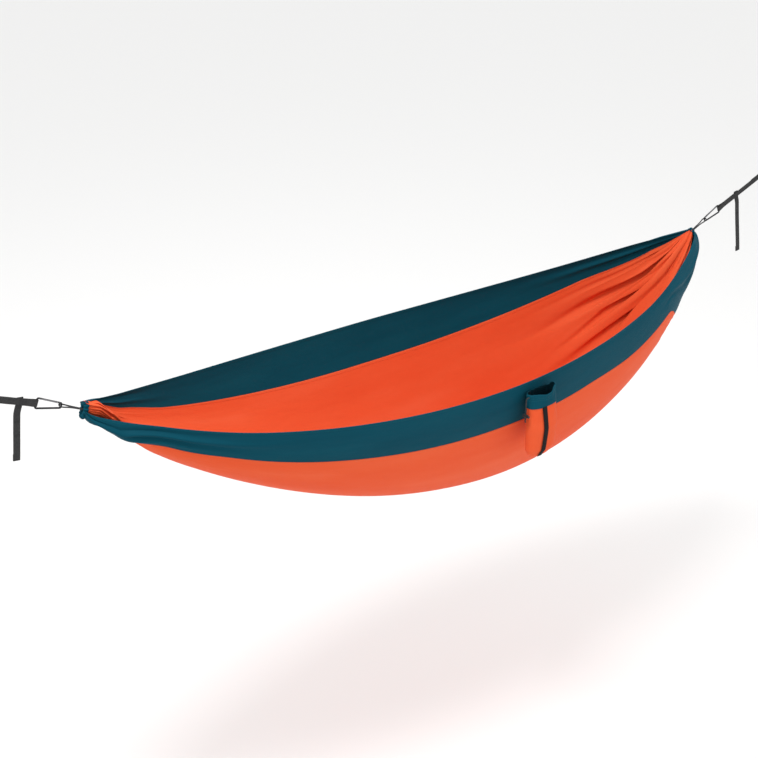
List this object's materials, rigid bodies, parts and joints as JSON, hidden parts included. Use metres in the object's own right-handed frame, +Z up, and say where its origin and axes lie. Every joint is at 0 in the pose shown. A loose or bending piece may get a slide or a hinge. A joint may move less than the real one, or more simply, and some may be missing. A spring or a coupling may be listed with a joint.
{
  "type": "camping hammock",
  "caption": "Two-tone parachute-nylon camping hammock hung from gathered ends by rope loops, wire-gate-style carabiners and webbing tree straps, with a sewn-on stuff sack.",
  "frame": {"origin": "centre of the left tree strap's sewn eye, where the hammock is hung", "axes": "+X points along the hammock to the right strap's eye, +Z up, -Y towards the side that carries the stuff sack"},
  "size_m": [3.0023, 0.695, 0.7882],
  "materials": {
    "nylon_orange": "satin ripstop-weight nylon",
    "nylon_teal": "satin ripstop-weight nylon",
    "webbing_charcoal": "woven webbing",
    "webbing_black": "woven webbing",
    "cord_black": "braided cord",
    "thread_dark": "dense stitching",
    "carabiner_metal": "dark gunmetal coating",
    "pin_steel": "satin",
    "lock_plastic": "moulded matte"
  },
  "bodies": {
    "bed": {"centre_panel_left_end": "nylon_orange", "centre_panel_left_quarter": "nylon_orange", "centre_panel_left_middle": "nylon_orange", "centre_panel_right_middle": "nylon_orange", "centre_panel_right_quarter": "nylon_orange", "centre_panel_right_end": "nylon_orange", "side_panel_near_left_end": "nylon_teal", "side_panel_near_left_middle": "nylon_teal", "side_panel_near_right_middle": "nylon_teal", "side_panel_near_right_end": "nylon_teal", "side_panel_far_left_end": "nylon_teal", "side_panel_far_left_middle": "nylon_teal", "side_panel_far_right_middle": "nylon_teal", "side_panel_far_right_end": "nylon_teal", "end_channel_left": "nylon_teal", "end_channel_right": "nylon_teal", "gather_rope_left": "cord_black", "gather_rope_right": "cord_black"},
    "sack": {"sack_collar": "nylon_teal", "sack_body": "nylon_orange", "sack_stripe": "webbing_black", "sack_drawcord": "cord_black"},
    "cord_lock": {"cord_lock_barrel": "lock_plastic"},
    "lock_plunger": {"cord_lock_plunger": "lock_plastic"},
    "carabiner_left": {"carabiner_frame_left": "carabiner_metal", "gate_pin_left": "pin_steel"},
    "gate_left": {"carabiner_gate_left": "carabiner_metal"},
    "strap_left": {"tree_strap_left": "webbing_charcoal", "strap_bartack_left": "thread_dark"},
    "tail_left": {"strap_tail_left": "webbing_charcoal"},
    "carabiner_right": {"carabiner_frame_right": "carabiner_metal", "gate_pin_right": "pin_steel"},
    "gate_right": {"carabiner_gate_right": "carabiner_metal"},
    "strap_right": {"tree_strap_right": "webbing_charcoal", "strap_bartack_right": "thread_dark"},
    "tail_right": {"strap_tail_right": "webbing_charcoal"}
  },
  "joints": [
    {"name": "carabiner_left_swing", "type": "hinge", "parent": "bed", "child": "carabiner_left", "pos_m": [0.31061, 0, -0.12549], "axis": [0.3746, 0, 0.9272], "range_deg": [-60, 60]},
    {"name": "gate_left_open", "type": "hinge", "parent": "carabiner_left", "child": "gate_left", "pos_m": [0.29981, 0, -0.1124], "axis": [0, -1, 0], "range_deg": [0, 20], "stiffness_Nm_per_rad": 0.06, "springref_deg": -22.92},
    {"name": "strap_left_swing", "type": "hinge", "parent": "carabiner_left", "child": "strap_left", "pos_m": [0.2457, 0, -0.09927], "axis": [0.3746, 0, 0.9272], "range_deg": [-60, 60]},
    {"name": "tail_left_swing", "type": "hinge", "parent": "strap_left", "child": "tail_left", "pos_m": [0.19934, 0, -0.08054], "axis": [0, 1, 0], "range_deg": [-35, 60]},
    {"name": "carabiner_right_swing", "type": "hinge", "parent": "bed", "child": "carabiner_right", "pos_m": [2.65333, 0, -0.12549], "axis": [-0.3746, 0, 0.9272], "range_deg": [-60, 60]},
    {"name": "gate_right_open", "type": "hinge", "parent": "carabiner_right", "child": "gate_right", "pos_m": [2.66412, 0, -0.1124], "axis": [0, 1, 0], "range_deg": [0, 20], "stiffness_Nm_per_rad": 0.06, "springref_deg": -22.92},
    {"name": "strap_right_swing", "type": "hinge", "parent": "carabiner_right", "child": "strap_right", "pos_m": [2.71823, 0, -0.09927], "axis": [-0.3746, 0, 0.9272], "range_deg": [-60, 60]},
    {"name": "tail_right_swing", "type": "hinge", "parent": "strap_right", "child": "tail_right", "pos_m": [2.80909, 0, -0.06256], "axis": [0, 1, 0], "range_deg": [-60, 45]},
    {"name": "sack_swing", "type": "hinge", "parent": "bed", "child": "sack", "pos_m": [1.63384, -0.31587, -0.33323], "axis": [-0.9976, -0.0693, 0], "range_deg": [0, 60]},
    {"name": "cord_lock_slide", "type": "slide", "parent": "sack", "child": "cord_lock", "axis": [0, 0, 1], "range_m": [-0.004, 0.035]},
    {"name": "lock_plunger_press", "type": "slide", "parent": "cord_lock", "child": "lock_plunger", "axis": [-0.0693, 0.9976, 0], "range_m": [0, 0.0035], "stiffness_N_per_m": 400, "springref_m": -0.002}
  ]
}
